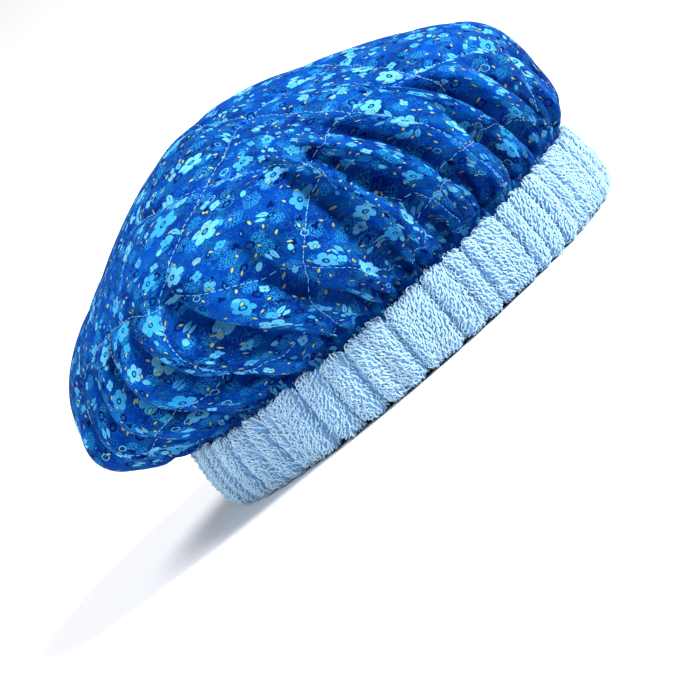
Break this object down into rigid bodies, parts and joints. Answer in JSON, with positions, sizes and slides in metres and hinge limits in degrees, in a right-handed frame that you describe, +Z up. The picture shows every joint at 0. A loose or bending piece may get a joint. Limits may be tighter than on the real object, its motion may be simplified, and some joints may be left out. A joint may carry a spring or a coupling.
{
  "type": "deep conditioning heat cap",
  "caption": "Quilted cotton heat cap with seed-filled square pockets, gathered onto an elasticated terry band; warmed and worn over hair.",
  "frame": {"origin": "centre of the head opening in the plane of the terry band's lower rim", "axes": "+X towards the forehead, +Y towards the wearer's left, +Z up to the crown"},
  "size_m": [0.2444, 0.2123, 0.1335],
  "materials": {
    "printed_cotton": "printed plain-weave cotton, matte with a faint sheen",
    "plain_cotton": "plain-weave cotton, matte",
    "terry": "looped cotton terry, soft and matte",
    "elastic": "woven elastic, ribbed",
    "flax_seed": "loose glossy brown seed"
  },
  "bodies": {
    "root": {"outer_cover": "printed_cotton", "inner_lining": "plain_cotton", "terry_band": "terry", "elastic_loop": "elastic", "seed_fill_1_2": "flax_seed", "seed_fill_1_3": "flax_seed", "seed_fill_1_4": "flax_seed", "seed_fill_1_5": "flax_seed", "seed_fill_2_1": "flax_seed", "seed_fill_2_2": "flax_seed", "seed_fill_2_3": "flax_seed", "seed_fill_2_4": "flax_seed", "seed_fill_2_5": "flax_seed", "seed_fill_2_6": "flax_seed", "seed_fill_3_1": "flax_seed", "seed_fill_3_2": "flax_seed", "seed_fill_3_3": "flax_seed", "seed_fill_3_4": "flax_seed", "seed_fill_3_5": "flax_seed", "seed_fill_3_6": "flax_seed", "seed_fill_4_1": "flax_seed", "seed_fill_4_2": "flax_seed", "seed_fill_4_3": "flax_seed", "seed_fill_4_4": "flax_seed", "seed_fill_4_5": "flax_seed", "seed_fill_4_6": "flax_seed", "seed_fill_5_1": "flax_seed", "seed_fill_5_2": "flax_seed", "seed_fill_5_3": "flax_seed", "seed_fill_5_4": "flax_seed", "seed_fill_5_5": "flax_seed", "seed_fill_5_6": "flax_seed", "seed_fill_6_2": "flax_seed", "seed_fill_6_3": "flax_seed", "seed_fill_6_4": "flax_seed", "seed_fill_6_5": "flax_seed"}
  },
  "joints": []
}
